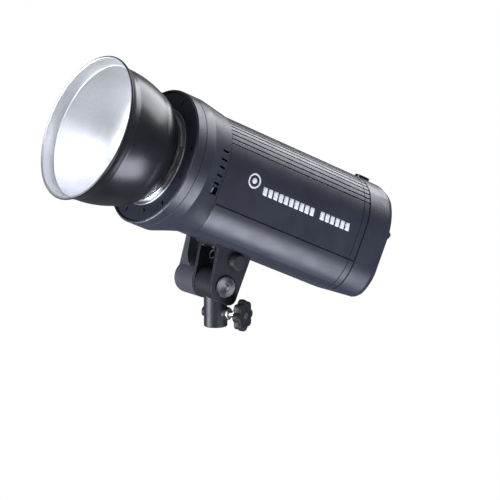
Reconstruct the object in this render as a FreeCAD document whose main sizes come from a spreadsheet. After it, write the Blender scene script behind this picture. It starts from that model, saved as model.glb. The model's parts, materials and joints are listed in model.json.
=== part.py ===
import FreeCAD, Part
import math
import os
import Sketcher
from types import SimpleNamespace
from FreeCAD import Placement, Rotation, Vector

# Battery monolight strobe with a 7 inch reflector on a tilting stand adapter.
#
# Three frames are used, all in millimetres:
#   stand  the row's own frame: origin at the mouth of the stand socket, +Z up, +X forward
#   pivot  origin on the tilt pivot, turned nose-up by head_tilt
#   lamp   the pivot frame moved up to the optical axis: x along the light, y to the
#          lamp's left, z up from the axis.  Stations along x are counted from the pivot.

doc = FreeCAD.newDocument("MonolightStrobe")

# --------------------------------------------------------------------------- dimensions

DIMENSIONS = [
    # stand adapter and tilt
    ("head_tilt", 24, "nose-up angle at rest, degrees"),
    ("pivot_height", 53.4, "tilt pivot above the mouth of the stand socket"),
    ("axis_height", 117, "optical axis above the pivot"),
    ("socket_radius", 14.8, "outside of the stand socket"),
    ("spigot_bore", 8.1, "radius that takes a 16 mm stand spigot"),
    ("spigot_depth", 38, "depth of the spigot bore"),
    ("hub_radius", 20.3, "swivel barrel between the yoke ears"),
    ("hub_half_length", 16.2, "half the length of the swivel barrel"),
    ("bolt_radius", 5, "pivot bolt shank"),
    ("running_gap", 0.05, "radial clearance of turning pieces"),
    ("clamp_height", 17.2, "stand clamp screw above the socket mouth"),
    ("clamp_angle", 118, "direction of the clamp screw, degrees from forward"),
    ("clamp_screw_radius", 4, "stand clamp screw shank"),
    ("knob_radius", 21, "star knob over its lobes"),
    ("knob_inner", 31.5, "inner face of the star knob from the socket axis"),
    ("knob_outer", 43.5, "outer face of the star knob from the socket axis"),
    # yoke
    ("ear_outer", 22, "outer face of a yoke ear from the middle plane"),
    ("ear_thickness", 4.5, "thickness of a yoke ear"),
    ("ear_radius", 20.5, "rounded front of an ear, about the pivot"),
    ("ear_back", 22, "upright back edge of an ear behind the pivot"),
    ("web_top", 46, "top of the yoke web above the pivot"),
    ("web_thickness", 4, "thickness of the yoke web"),
    ("umbrella_height", 33.5, "umbrella tube above the pivot"),
    ("umbrella_bore", 4.2, "radius that takes an 8 mm umbrella shaft"),
    ("umbrella_tube", 6, "outside of the umbrella tube"),
    ("lever_hub_radius", 21, "hub of the tilt lever"),
    ("lever_reach", 65, "outer end of the tilt lever hub from the middle plane"),
    ("lever_tip", 64, "tip of the tilt lever from the pivot"),
    ("lever_lean", 8, "backward lean of the tilt lever at rest, degrees"),
    # body
    ("front_seam", 85, "station of the seam behind the front housing"),
    ("rear_seam", -148, "station of the seam ahead of the rear housing"),
    ("rear_face", -192, "station of the rear face"),
    ("seam_gap", 0.7, "gap between neighbouring casings"),
    ("half_width", 61.5, "flat side from the middle plane"),
    ("shoulder_start", 8, "height where the flat side ends"),
    ("shoulder_side", 43, "end of the shoulder arc, sideways"),
    ("shoulder_height", 62, "end of the shoulder arc, upwards"),
    ("shoulder_radius", 78, "radius of the shoulder arc"),
    ("arch_radius", 62.9, "radius of the arch over the top"),
    ("arch_centre", 16.1, "height of the centre of that arch"),
    ("shell_seam", -30, "height of the seam between upper and lower shell"),
    ("crease_side", 48, "lower crease, sideways"),
    ("crease_height", -65, "lower crease, height"),
    ("belly_radius", 52, "radius of the lower side"),
    ("floor_side", 38, "edge of the flat underside"),
    ("body_floor", -71, "flat underside"),
    ("wall", 2.5, "casing wall"),
    ("rib_pitch", 6, "angle between the cooling grooves, degrees"),
    ("rib_first", 30, "angle of the lowest cooling groove, degrees"),
    # front housing and mount
    ("ring_radius", 85.5, "outside of the front ring"),
    ("ring_back", 122, "station where the front ring starts"),
    ("face_station", 150, "station of the front face"),
    ("face_radius", 82.5, "outside of the mount faceplate"),
    ("mount_radius", 62, "outside of the bayonet ring"),
    ("mount_bore", 48, "bore of the bayonet ring"),
    ("groove_bore", 52, "bore of the groove that holds the bayonet lugs"),
    ("pin_orbit", 56, "lock pin from the optical axis"),
    ("pin_angle", -14, "direction of the lock pin, degrees above the left side"),
    ("bayonet_turn", 30, "turn of the bayonet, degrees"),
    ("dome_radius", 38, "outside of the glass dome"),
    ("dome_tip", 183, "station of the tip of the glass dome"),
    # reflector
    ("mouth_radius", 90, "mouth of the reflector"),
    ("mouth_station", 252, "station of the mouth"),
    ("band_length", 16, "flared band behind the mouth"),
    ("bowl_radius", 83.6, "bowl where it meets the band"),
    ("skin", 1.2, "thickness of the reflector's sheet"),
    # rear end and battery
    ("panel_inset", 11, "border of the rear face round the control panel"),
    ("panel_floor", 2, "lower edge of the control panel"),
    ("battery_side", 42.5, "half width of the battery end cap"),
    ("battery_floor", -59.5, "lower edge of the battery end cap"),
    ("battery_roof", -1.5, "upper edge of the battery end cap"),
    ("battery_front", -42, "station of the front end of the battery"),
    ("battery_gap", 0.5, "clearance between battery and bay"),
    ("cell_radius", 9.1, "battery cell"),
    ("cell_length", 64, "battery cell"),
    ("handle_width", 60, "battery handle over its arms"),
    # inside
    ("capacitor_radius", 18, "flash capacitor"),
    ("capacitor_length", 78, "flash capacitor"),
    ("fan_size", 60, "side of the fan frame"),
    ("fan_height", 20, "fan axis above the optical axis"),
]

sheet = doc.addObject("Spreadsheet::Sheet", "dims")
for row, (alias, number, meaning) in enumerate(DIMENSIONS, start=1):
    sheet.set(f"A{row}", meaning)
    sheet.set(f"B{row}", str(number))
    sheet.setAlias(f"B{row}", alias)
doc.recompute()


class Size:
    """A number worked out from the sheet, kept with the expression that gives it."""

    def __init__(self, value, text=None):
        self.value = float(value)
        self.text = repr(self.value) if text is None else text

    def __float__(self):
        return self.value

    def __add__(self, other):
        other = size(other)
        return Size(self.value + other.value, f"({self.text} + {other.text})")

    def __sub__(self, other):
        other = size(other)
        return Size(self.value - other.value, f"({self.text} - {other.text})")

    def __mul__(self, other):
        other = size(other)
        return Size(self.value * other.value, f"({self.text} * {other.text})")

    def __truediv__(self, other):
        other = size(other)
        return Size(self.value / other.value, f"({self.text} / {other.text})")

    def __radd__(self, other):
        return size(other) + self

    def __rsub__(self, other):
        return size(other) - self

    def __rmul__(self, other):
        return size(other) * self

    def __neg__(self):
        return Size(-self.value, f"(-1 * {self.text})")


def size(number):
    return number if isinstance(number, Size) else Size(number)


d = SimpleNamespace(**{alias: Size(number, f"dims.{alias}") for alias, number, _ in DIMENSIONS})

# --------------------------------------------------------------------------- frames

STAND = Placement()
PIVOT = Placement(Vector(0, 0, float(d.pivot_height)), Rotation(Vector(0, 1, 0), -float(d.head_tilt)))
LAMP = PIVOT.multiply(Placement(Vector(0, 0, float(d.axis_height)), Rotation()))
LEVER = Placement(Vector(0, 0, float(d.pivot_height)), Rotation(Vector(0, 1, 0), -float(d.lever_lean)))
CLAMP = Placement(Vector(0, 0, float(d.clamp_height)), Rotation(Vector(0, 0, 1), float(d.clamp_angle)))

nodes = []

# --------------------------------------------------------------------------- makers


def bind(thing, prop, value):
    """Tie a property to the sheet."""
    value = size(value)
    thing.setExpression(prop, value.text)


def place(thing, base, rotation=Rotation()):
    """Put a helper shape at a base point whose coordinates follow the sheet."""
    base = [size(part) for part in base]
    thing.Placement = Placement(Vector(*[part.value for part in base]), rotation)
    for axis, part in zip("xyz", base):
        bind(thing, f"Placement.Base.{axis}", part)


TURN_TO = {
    "x": Rotation(Vector(0, 1, 0), 90),
    "-x": Rotation(Vector(0, 1, 0), -90),
    "y": Rotation(Vector(1, 0, 0), -90),
    "-y": Rotation(Vector(1, 0, 0), 90),
    "z": Rotation(),
}


def cylinder(axis, base, radius, length):
    """A cylinder from a base point along a named axis."""
    made = doc.addObject("Part::Cylinder", "cylinder")
    bind(made, "Radius", radius)
    bind(made, "Height", length)
    place(made, base, TURN_TO[axis])
    return made


def cone(axis, base, radius, end_radius, length):
    made = doc.addObject("Part::Cone", "cone")
    bind(made, "Radius1", radius)
    bind(made, "Radius2", end_radius)
    bind(made, "Height", length)
    place(made, base, TURN_TO[axis])
    return made


def tube(axis, base, radius, bore, length):
    outside = cylinder(axis, base, radius, length)
    inside = cylinder(axis, base, bore, length)
    return cut([outside], [inside])


def block(low, high):
    """A box between its lowest and highest corners."""
    low = [size(part) for part in low]
    high = [size(part) for part in high]
    made = doc.addObject("Part::Box", "block")
    for prop, start, end in zip(("Length", "Width", "Height"), low, high):
        bind(made, prop, end - start)
    place(made, low)
    return made


def slab(x_range, half_side, z_range):
    """A box that is symmetric about the middle plane."""
    half_side = size(half_side)
    return block((x_range[0], -half_side, z_range[0]), (x_range[1], half_side, z_range[1]))


def joined(shapes):
    """Several shapes as one solid."""
    if len(shapes) == 1:
        return shapes[0]
    made = doc.addObject("Part::MultiFuse", "joined")
    made.Shapes = shapes
    return made


def group(shapes):
    """Several separate solids as one object."""
    made = doc.addObject("Part::Compound", "group")
    made.Links = shapes
    return made


def cut(shapes, tools):
    made = doc.addObject("Part::Cut", "cut")
    made.Base = joined(shapes)
    made.Tool = joined(tools)
    return made


def common(first, second):
    made = doc.addObject("Part::Common", "common")
    made.Base = first
    made.Tool = second
    return made


def turned_copy(source, axis, degrees, centre=Vector(0, 0, 0)):
    """A copy of a shape turned about an axis through a centre."""
    made = doc.addObject("Part::Feature", "turned_copy")
    doc.recompute()
    made.Shape = source.Shape.copy()
    made.Placement = Placement(Vector(0, 0, 0), Rotation(axis, degrees), centre).multiply(made.Placement)
    return made


def around(source, axis, angles):
    return [turned_copy(source, axis, angle) for angle in angles]


def shape_object(shape, name="shape"):
    """A helper object for a shape that no feature or primitive makes."""
    made = doc.addObject("Part::Feature", name)
    made.Shape = shape
    return made


def node(label, frame, thing):
    """Name a finished sub-part and put it in its frame."""
    if thing.TypeId in ("Part::Box", "Part::Cylinder", "Part::Cone", "Part::Feature"):
        thing = group([thing])
    thing.Label = label
    thing.Placement = frame
    nodes.append(thing)
    return thing


def arc_through(start, end, radius):
    """The minor arc from start to end; a positive radius has its centre on the left."""
    chord = end - start
    middle = (start + end) * 0.5
    left = Vector(-chord.y, chord.x, 0).normalize()
    depth = math.sqrt(radius * radius - chord.Length * chord.Length / 4)
    centre = middle + left * depth * (1 if radius > 0 else -1)
    circle = Part.Circle(centre, Vector(0, 0, 1), abs(radius))
    first, last = (start, end) if radius > 0 else (end, start)
    return Part.ArcOfCircle(circle, circle.parameter(first), circle.parameter(last))


def sketch(body, plane, outlines, offset=0):
    """A sketch of closed outlines, every corner tied to the sheet.

    A corner is (x, y), or (x, y, radius) where an arc leads from it to the next corner.
    """
    planes = {feature.Role: feature for feature in body.Origin.OriginFeatures}
    made = body.newObject("Sketcher::SketchObject", "sketch")
    made.AttachmentSupport = [(planes[f"{plane}_Plane"], "")]
    made.MapMode = "FlatFace"
    bind(made, "AttachmentOffset.Base.z", offset)
    for outline in outlines:
        corners = [[size(part) for part in corner] for corner in outline]
        points = [Vector(corner[0].value, corner[1].value, 0) for corner in corners]
        starts = []
        ends = []
        for index, corner in enumerate(corners):
            start, end = points[index], points[(index + 1) % len(points)]
            if len(corner) == 3:
                edge = made.addGeometry(arc_through(start, end, corner[2].value), False)
                forward = corner[2].value > 0
                arc = made.addConstraint(Sketcher.Constraint("Radius", edge, abs(corner[2].value)))
                bind(made, f"Constraints[{arc}]", corner[2] if forward else -corner[2])
            else:
                edge = made.addGeometry(Part.LineSegment(start, end), False)
                forward = True
            starts.append((edge, 1 if forward else 2))
            ends.append((edge, 2 if forward else 1))
        for index, corner in enumerate(corners):
            made.addConstraint(Sketcher.Constraint("Coincident", *ends[index - 1], *starts[index]))
            for direction, part in zip(("DistanceX", "DistanceY"), corner):
                rule = Sketcher.Constraint(direction, -1, 1, *starts[index], part.value)
                number = made.addConstraint(rule)
                bind(made, f"Constraints[{number}]", part)
    return made


def new_body():
    body = doc.addObject("PartDesign::Body", "body")
    doc.recompute()
    return body


def lathe(outline):
    """A body turned about the X axis; outline corners are (along, radius)."""
    body = new_body()
    turned = body.newObject("PartDesign::Revolution", "turned")
    turned.Profile = sketch(body, "XY", [outline])
    axes = {feature.Role: feature for feature in body.Origin.OriginFeatures}
    turned.ReferenceAxis = (axes["X_Axis"], [""])
    turned.Angle = 360
    return body


def prism(plane, outlines, start, length):
    """A body with a flat outline, from start along the plane's third axis.

    The XZ plane's sketch faces -Y, so its offset is counted from the far side.
    """
    start, length = size(start), size(length)
    body = new_body()
    offset = -(start + length) if plane == "XZ" else start
    pad = body.newObject("PartDesign::Pad", "pad")
    pad.Profile = sketch(body, plane, outlines, offset)
    bind(pad, "Length", length)
    body.Tip = pad
    return body


def rounded(thing, radius, picks):
    """A Part fillet on the edges that picks() accepts."""
    doc.recompute()
    made = doc.addObject("Part::Fillet", "rounded")
    made.Base = thing
    numbers = [index for index, edge in enumerate(thing.Shape.Edges, start=1) if picks(edge)]
    made.Edges = [(index, radius, radius) for index in numbers]
    return made


# --------------------------------------------------------------------------- body section


def section(inset=0):
    """Corners of the casing's section, seen from the front, anticlockwise."""
    inset = size(inset)
    diagonal = inset * 0.707
    floor_side = d.floor_side - inset * 0.4
    crease = (d.crease_side - inset * 0.8, d.crease_height + inset * 0.6)
    side = d.half_width - inset
    shoulder = (d.shoulder_side - inset * 0.684, d.shoulder_height - inset * 0.73)
    floor = d.body_floor + inset
    right = [
        (floor_side, floor),
        (*crease, d.belly_radius - diagonal),
        (side, d.shell_seam),
        (side, d.shoulder_start, d.shoulder_radius - inset),
        (*shoulder, d.arch_radius - inset),
    ]
    left = [
        (-shoulder[0], shoulder[1], d.shoulder_radius - inset),
        (-side, d.shoulder_start),
        (-side, d.shell_seam, d.belly_radius - diagonal),
        (-crease[0], crease[1]),
        (-floor_side, floor),
    ]
    return right + left


def wire_at(corners, station):
    """A closed wire across the lamp's axis from a list of corners."""
    corners = [[float(part) for part in corner] for corner in corners]
    points = [Vector(corner[0], corner[1], 0) for corner in corners]
    edges = []
    for index, corner in enumerate(corners):
        start, end = points[index], points[(index + 1) % len(points)]
        if len(corner) == 3:
            edges.append(arc_through(start, end, corner[2]).toShape())
        else:
            edges.append(Part.LineSegment(start, end).toShape())
    wire = Part.Wire(Part.__sortEdges__(edges))
    # local x becomes the lamp's y, local y becomes its z
    across = Rotation(Vector(0, 1, 0), Vector(0, 0, 1), Vector(1, 0, 0), "XYZ")
    wire.Placement = Placement(Vector(float(station), 0, 0), across)
    return wire


def circle_section(radius):
    """A circle broken where the section() corners point, so that the two can be lofted."""
    radius = float(radius)
    corners = []
    for corner in section():
        angle = math.atan2(float(corner[1]), float(corner[0]))
        corners.append((radius * math.cos(angle), radius * math.sin(angle), radius))
    return corners


def lofted(stages):
    """A solid through (station, corners) stages, with straight sides between them."""
    wires = [wire_at(corners, station) for station, corners in stages]
    pieces = [Part.makeLoft([first, second], True, True) for first, second in zip(wires, wires[1:])]
    solid = pieces[0]
    for piece in pieces[1:]:
        solid = solid.fuse(piece)
    return solid.removeSplitter()


# --------------------------------------------------------------------------- stand adapter


def make_stand_socket():
    hub = cylinder("y", (0, -d.hub_half_length, d.pivot_height), d.hub_radius, d.hub_half_length * 2)
    post = cylinder("z", (0, 0, 0), d.socket_radius, d.pivot_height)
    post = rounded(post, 1.5, lambda edge: edge.BoundBox.ZMax < 1)
    boss = shape_object(Part.makeCylinder(8.5, 17.5, Vector(0, 0, 0), Vector(1, 0, 0)))
    back_boss = shape_object(Part.makeCylinder(6, 17, Vector(0, 0, 0), Vector(-1, 0, 0)))
    insert_hole = shape_object(Part.makeCylinder(6, 20, Vector(11.5, 0, 0), Vector(1, 0, 0)))
    pad_hole = shape_object(Part.makeCylinder(4.2, 20, Vector(0, 0, 0), Vector(1, 0, 0)))
    grub_hole = shape_object(Part.makeCylinder(4, 12, Vector(-10, 0, 0), Vector(-1, 0, 0)))
    for thing in (boss, back_boss, insert_hole, pad_hole, grub_hole):
        thing.Placement = CLAMP
    bore = cylinder("z", (0, 0, 0), d.spigot_bore, d.spigot_depth)
    mouth = cone("z", (0, 0, 0), d.spigot_bore + 1.2, d.spigot_bore, 1.2)
    bolt_hole = cylinder("y", (0, -30, d.pivot_height), d.bolt_radius + d.running_gap, 60)
    tools = [bore, mouth, bolt_hole, insert_hole, pad_hole, grub_hole]
    node("stand_socket", STAND, cut([hub, post, boss, back_boss], tools))


def make_stand_clamp():
    radius = d.clamp_screw_radius
    bush = cylinder("x", (11.5, 0, 0), 6, 6)
    bush_flange = rounded(cylinder("x", (17.5, 0, 0), 7.4, 2.8), 0.7, lambda edge: edge.BoundBox.XMin > 20)
    bush_bore = cylinder("x", (10, 0, 0), radius + d.running_gap, 12)
    node("clamp_thread_insert", CLAMP, cut([bush, bush_flange], [bush_bore]))
    grub = cut([cylinder("-x", (-10, 0, 0), 4, 6.2)], [prism("YZ", [hexagon(2)], -20, 6)])
    node("socket_grub_screw", CLAMP, grub)
    washers = [tube("y", (0, side, 0), 17, d.bolt_radius + 0.3, 0.9) for side in (-17.2, 16.3)]
    node("friction_washers", Placement(LEVER), group(washers))

    node("clamp_pad", CLAMP, cylinder("x", (8.4, 0, 0), 3.5, 3.4))
    screw = cylinder("x", (11.9, 0, 0), radius, d.knob_outer - 11.9)
    collar_start = d.knob_inner - 2.3
    flange = cylinder("x", (collar_start, 0, 0), 5.5, 2.3)
    node("clamp_screw", CLAMP, joined([screw, flange]))
    collar = rounded(cylinder("x", (collar_start, 0, 0), 11.4, 2.3), 0.9, lambda edge: edge.Length > 60)
    node("clamp_collar", CLAMP, cut([collar], [cylinder("x", (20, 0, 0), 5.5, 20)]))
    make_star_knob("clamp_knob", CLAMP, d.knob_radius, d.knob_inner, d.knob_outer, 8, radius)


def hexagon(apothem):
    """Corners of a hexagon by the distance from its middle to a flat."""
    reach = size(apothem) * (2 / math.sqrt(3))
    return [(reach * math.cos(math.radians(60 * k)), reach * math.sin(math.radians(60 * k)))
            for k in range(6)]


def make_star_knob(label, frame, radius, inner, outer, lobes, bore):
    """A lobed knob on the X axis, scalloped between its lobes."""
    body = new_body()
    pad = body.newObject("PartDesign::Pad", "disc")
    pad.Profile = sketch(body, "YZ", [split_circle(radius), split_circle(bore)], inner)
    bind(pad, "Length", outer - inner)
    doc.recompute()
    scallop = body.newObject("PartDesign::Pocket", "scallop")
    scallop_radius = radius * 0.27
    profile = sketch(body, "YZ", [split_circle(scallop_radius, radius * 1.13)], inner - 1)
    scallop.Profile = profile
    bind(scallop, "Length", outer - inner + 2)
    scallop.Reversed = True
    doc.recompute()
    pattern = body.newObject("PartDesign::PolarPattern", "lobes")
    pattern.Originals = [scallop]
    axes = {feature.Role: feature for feature in body.Origin.OriginFeatures}
    pattern.Axis = (axes["X_Axis"], [""])
    pattern.Angle = 360
    pattern.Occurrences = lobes
    body.Tip = pattern
    node(label, frame, body)


def split_circle(radius, sideways=0):
    """A circle as four arcs, its centre moved along the sketch's first axis."""
    radius, sideways = size(radius), size(sideways)
    return [
        (sideways + radius, 0, radius),
        (sideways, radius, radius),
        (sideways - radius, 0, radius),
        (sideways, -radius, radius),
    ]


# --------------------------------------------------------------------------- yoke and lever


YOKE_SCREWS = [(x, y) for x in (-14, 28) for y in (-12, 12)]


def make_yoke():
    """Two ears on a web, bolted to the underside of the body."""
    ear = d.ear_radius
    web_floor = d.web_top - d.web_thickness
    corner = ear / 2
    slope = math.radians(11.3)
    outline = [
        (-d.ear_back, corner - ear, corner),
        (corner - d.ear_back, -ear),
        (0, -ear, ear),
        (ear * math.cos(slope), ear * -math.sin(slope)),
        (29, web_floor - 1),
        (35.5, web_floor + 2),
        (36, d.web_top),
        (-d.ear_back, d.web_top),
    ]
    body = prism("XZ", [outline], -d.ear_outer, d.ear_outer * 2)
    slot = slab((-60, 60), d.ear_outer - d.ear_thickness, (-60, web_floor))
    bolt_hole = cylinder("y", (0, -40, 0), d.bolt_radius + d.running_gap, 80)
    lock_hole = cylinder("y", (-3, 0, d.umbrella_height), 2.55, 40)
    screw_holes = [cylinder("z", (x, y, 30), 2.1, 20) for x, y in YOKE_SCREWS]
    node("tilt_yoke", PIVOT, cut([body], [slot, bolt_hole, lock_hole] + screw_holes))

    heads = []
    for x, y in YOKE_SCREWS:
        head = cylinder("z", (x, y, web_floor - 2.4), 3.5, 2.4)
        shank = cylinder("z", (x, y, web_floor - 2.4), 2, 10)
        heads.append(cut([head, shank], [slot_box(x, y, web_floor - 2.4)]))
    node("yoke_screws", PIVOT, group(heads))


def slot_box(x, y, floor):
    """The driver slot in the underside of a screw head."""
    return block((x - 3, y - 0.5, floor - 1), (x + 3, y + 0.5, floor + 1))


def make_umbrella_holder():
    height = d.umbrella_height
    bore = d.umbrella_bore
    shell = cylinder("x", (-21, 0, height), d.umbrella_tube, 41)
    neck = slab((-15, 14), 4, (height, d.web_top - d.web_thickness))
    lug = cylinder("y", (-3, 0, height), 5, d.ear_outer - d.ear_thickness)
    tools = [
        cylinder("x", (-30, 0, height), bore, 60),
        cylinder("y", (-3, 0, height), 2.55, 30),
        cone("x", (19, 0, height), bore, bore + 1, 1),
    ]
    node("umbrella_holder", PIVOT, cut([shell, neck, lug], tools))
    node("umbrella_lock_pad", PIVOT, cylinder("y", (-3, bore + 0.35, height), 2.4, 1.2))
    node("umbrella_lock_screw", PIVOT, cylinder("y", (-3, bore + 1.6, height), 2.5, 21))
    knob = cone("y", (-3, d.ear_outer + 0.5, height), 12, 9.3, 8)
    knob = rounded(knob, 1.8, lambda edge: edge.BoundBox.YMin > float(d.ear_outer) + 8)
    notch = block((11.2, d.ear_outer - 1, -0.5), (14, d.ear_outer + 6, 0.5))
    ridges = around(notch, Vector(0, 1, 0), range(0, 360, 20))
    notches = shape_object(Part.makeCompound([ridge.Shape for ridge in ridges]))
    place(notches, (-3, 0, height))
    screw_hole = cylinder("y", (-3, 0, height), 2.5, bore + 1.6 + 21)
    node("umbrella_lock_knob", PIVOT, cut([knob], [notches, screw_hole]))


def make_pivot_bolt():
    """The long tilt bolt: a broad spun head on the left, its thread in the lever."""
    head = d.ear_outer + 0.3
    outline = [
        (head, 0),
        (head, 13.8),
        (head + 1.6, 13.8),
        (head + 2.7, 12.7),
        (head + 2.7, 5.5),
        (head + 2.2, 5),
        (head + 2.2, 0),
    ]
    disc = lathe(outline)
    shank = cylinder("-x", (head, 0, 0), d.bolt_radius, head + d.lever_reach - 4)
    bolt = joined([disc, shank])
    node("pivot_bolt", PIVOT, turned_copy(bolt, Vector(0, 0, 1), 90))


def make_lever():
    """The tilt lock lever on the right: a hub over the bolt and an arm pointing up."""
    inner = d.ear_outer + 0.5
    outer = d.lever_reach
    nut_length = 16
    nut_start = outer - 24
    hub = cylinder("-y", (0, -inner, 0), d.lever_hub_radius, outer - inner)
    hub = rounded(hub, 2.5, lambda edge: edge.BoundBox.YMax < -float(outer) + 0.5)
    half_base, half_tip = 16, 8
    outline = [
        (-half_base, 0),
        (half_base, 0),
        (half_tip, d.lever_tip - half_tip, half_tip),
        (0, d.lever_tip, half_tip),
        (-half_tip, d.lever_tip - half_tip),
    ]
    back = -(outer + 2)
    # seen from the front, the arm's inner side sweeps down and in to the hub
    profile = [
        (back, -5),
        (-36, -5),
        (-36, 14, -27),
        (back + 12.5, 40),
        (back + 10, d.lever_tip + 1),
        (back, d.lever_tip + 1),
    ]
    arm = common(prism("XZ", [outline], back, 40), prism("YZ", [profile], -30, 60))
    arm = rounded(arm, 2.2, lambda edge: edge.Length > 30 and edge.BoundBox.YMax < -float(outer))
    ridge = cylinder("z", (0, -outer - 1.2, 10), 2.4, d.lever_tip - 18)
    tools = [
        cylinder("-y", (0, 0, 0), d.bolt_radius + d.running_gap, outer - 2),
        cylinder("-y", (0, -nut_start, 0), 9, nut_length),
        cylinder("-y", (0, -outer + 1, 0), 8.2, 8),
    ]
    node("tilt_lever", LEVER, cut([hub, arm, ridge], tools))
    nut = cut([cylinder("-y", (0, -nut_start, 0), 9, nut_length)],
              [cylinder("-y", (0, 0, 0), d.bolt_radius + d.running_gap, outer - 2)])
    node("lever_nut", LEVER, nut)
    cap = cylinder("-y", (0, -outer + 1, 0), 8.2, 4.8)
    cap = rounded(cap, 2, lambda edge: edge.BoundBox.YMax < -float(outer) - 3)
    node("lever_cap", LEVER, cap)


# --------------------------------------------------------------------------- front end

VENT_HEIGHTS = (33, 22.5, 13, 2.5, -7.5)


def make_front_housing():
    """A round ring that narrows back to the section of the body."""
    wall = d.wall + 1
    ring = lathe([
        (d.ring_back, d.ring_radius),
        (d.face_station - 1.5, d.ring_radius, 1.5),
        (d.face_station, d.ring_radius - 1.5),
        (d.face_station, d.face_radius + 0.2),
        (d.face_station - 6, d.face_radius + 0.2),
        (d.face_station - 6, 72),
        (d.face_station - 11, 72),
        (d.face_station - 11, d.ring_radius - wall),
        (d.ring_back, d.ring_radius - wall),
    ])
    step = 1.2
    outside = lofted([(d.front_seam, section(-step)), (d.ring_back, circle_section(d.ring_radius))])
    hollow = lofted([
        (d.front_seam, section(wall)),
        (d.ring_back, circle_section(d.ring_radius - wall)),
    ])
    skirt = shape_object(outside.cut(hollow))
    tools = [
        tube("x", (d.face_station - 14, 0, 0), d.ring_radius + 5, d.ring_radius - 0.5, 0.8),
        slider_slot(),
    ]
    for height in VENT_HEIGHTS:
        tools.append(slab((d.front_seam + 4, d.front_seam + 17.5), 90, (height - 1.4, height + 1.4)))
    node("front_housing", LAMP, cut([ring, skirt], tools))


def slider_slot():
    """The slot that the bayonet release slides in, with its round recess."""
    turn = Rotation(Vector(1, 0, 0), float(d.pin_angle))
    slot = shape_object(Part.makeBox(13, 30, 9.4, Vector(89, 48, -4.7)))
    slot.Placement = Placement(Vector(), turn)
    return slot


def make_mount():
    """Faceplate, bayonet ring and the sprung release with its lock pin."""
    face = d.face_station
    screws = [60 * k + 15 for k in range(6)]
    plate = tube("x", (face - 6, 0, 0), d.face_radius, d.mount_radius + 0.3, 4)
    slot = block((face - 10, -1.7, 69.8), (face, 1.7, 76.3))
    slots = around(slot, Vector(1, 0, 0), [60 * k + 45 for k in range(6)])
    screw_hole = cylinder("x", (face - 8, 0, 70), 1.6, 20)
    screw_holes = around(screw_hole, Vector(1, 0, 0), screws)
    node("mount_faceplate", LAMP, cut([plate], slots + screw_holes))

    ring = lathe([
        (face - 12, d.mount_bore),
        (face - 12, d.mount_radius),
        (face - 0.6, d.mount_radius, 0.6),
        (face, d.mount_radius - 0.6),
        (face, d.mount_bore),
        (face - 4, d.mount_bore),
        (face - 4, d.groove_bore),
        (face - 8.2, d.groove_bore),
        (face - 8.2, d.mount_bore),
    ])
    gate = sector(d.groove_bore, d.mount_bore - 1, 28, (face - 5, face + 1))
    gates = around(gate, Vector(1, 0, 0), [120 * k + 90 for k in range(3)])
    pin_hole = at_pin_angle(cylinder("x", (face - 20, d.pin_orbit, 0), 2.3, 30))
    node("bayonet_ring", LAMP, cut([ring], gates + [pin_hole]))

    head = cut([cylinder("x", (face - 2, 0, 70), 2.8, 1.6), cylinder("x", (face - 10, 0, 70), 1.6, 9)],
               [block((face - 1.2, -0.5, 67), (face + 1, 0.5, 73))])
    node("face_screws", LAMP, group(around(head, Vector(1, 0, 0), screws)))

    lug = block((94.5, d.pin_orbit - 3, -4.4), (101.5, 67.5, 4.4))
    lug = rounded(lug, 1.2, lambda edge: edge.BoundBox.YMin > 67)
    pin = cylinder("x", (101.5, d.pin_orbit, 0), 2, face + 2.4 - 101.5)
    node("release_slider", LAMP, at_pin_angle(lug))
    node("lock_pin", LAMP, at_pin_angle(pin))


def at_pin_angle(thing):
    return turned_copy(thing, Vector(1, 0, 0), float(d.pin_angle))


def sector(radius, bore, degrees, x_range):
    """Part of a ring, centred on the +Y direction."""
    length = x_range[1] - x_range[0]
    outside = Part.makeCylinder(float(radius), float(length), Vector(), Vector(0, 0, 1), degrees)
    inside = Part.makeCylinder(float(bore), float(length))
    made = shape_object(outside.cut(inside))
    # the cylinder's own axis becomes the lamp's x, and its middle points along y
    lay = Rotation(Vector(0, 1, 0), Vector(0, 0, 1), Vector(1, 0, 0), "XYZ")
    centre = Rotation(Vector(1, 0, 0), -degrees / 2)
    made.Placement = Placement(Vector(float(x_range[0]), 0, 0), centre.multiply(lay))
    return made


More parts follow.
